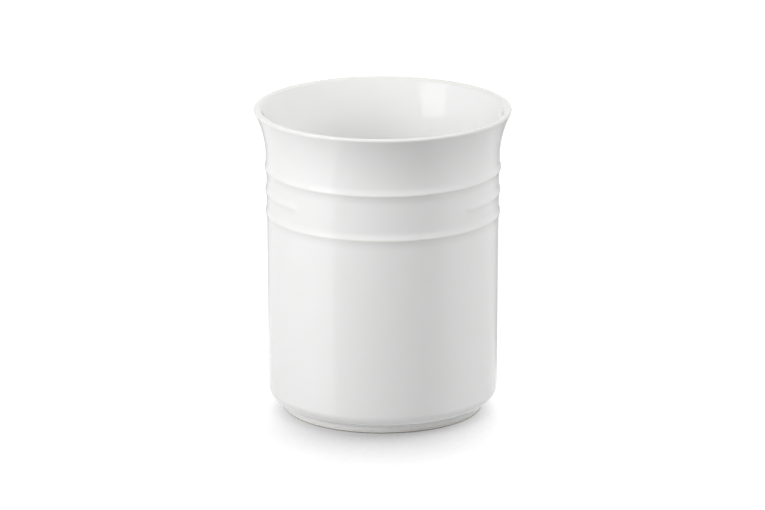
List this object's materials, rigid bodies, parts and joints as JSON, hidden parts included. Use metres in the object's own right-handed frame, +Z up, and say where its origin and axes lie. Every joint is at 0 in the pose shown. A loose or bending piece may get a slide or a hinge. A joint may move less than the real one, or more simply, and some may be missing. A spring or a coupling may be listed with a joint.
{
  "type": "utensil crock",
  "caption": "Round glazed stoneware jar for kitchen utensils, with raised rings under a flared rim, a plain front panel and a narrow foot ring.",
  "frame": {"origin": "centre of the foot ring's contact plane on the table", "axes": "+Z up along the axis of the jar; -Y towards the plain front panel where the middle ring is missing"},
  "size_m": [0.1244, 0.1244, 0.15],
  "materials": {
    "biscuit": "matt, fine-grained fired clay, bare at the foot ring",
    "white_glaze": "gloss white glaze"
  },
  "bodies": {
    "root": {"stoneware_body": "biscuit", "glaze_coat": "white_glaze", "underside_glaze": "white_glaze"}
  },
  "joints": []
}
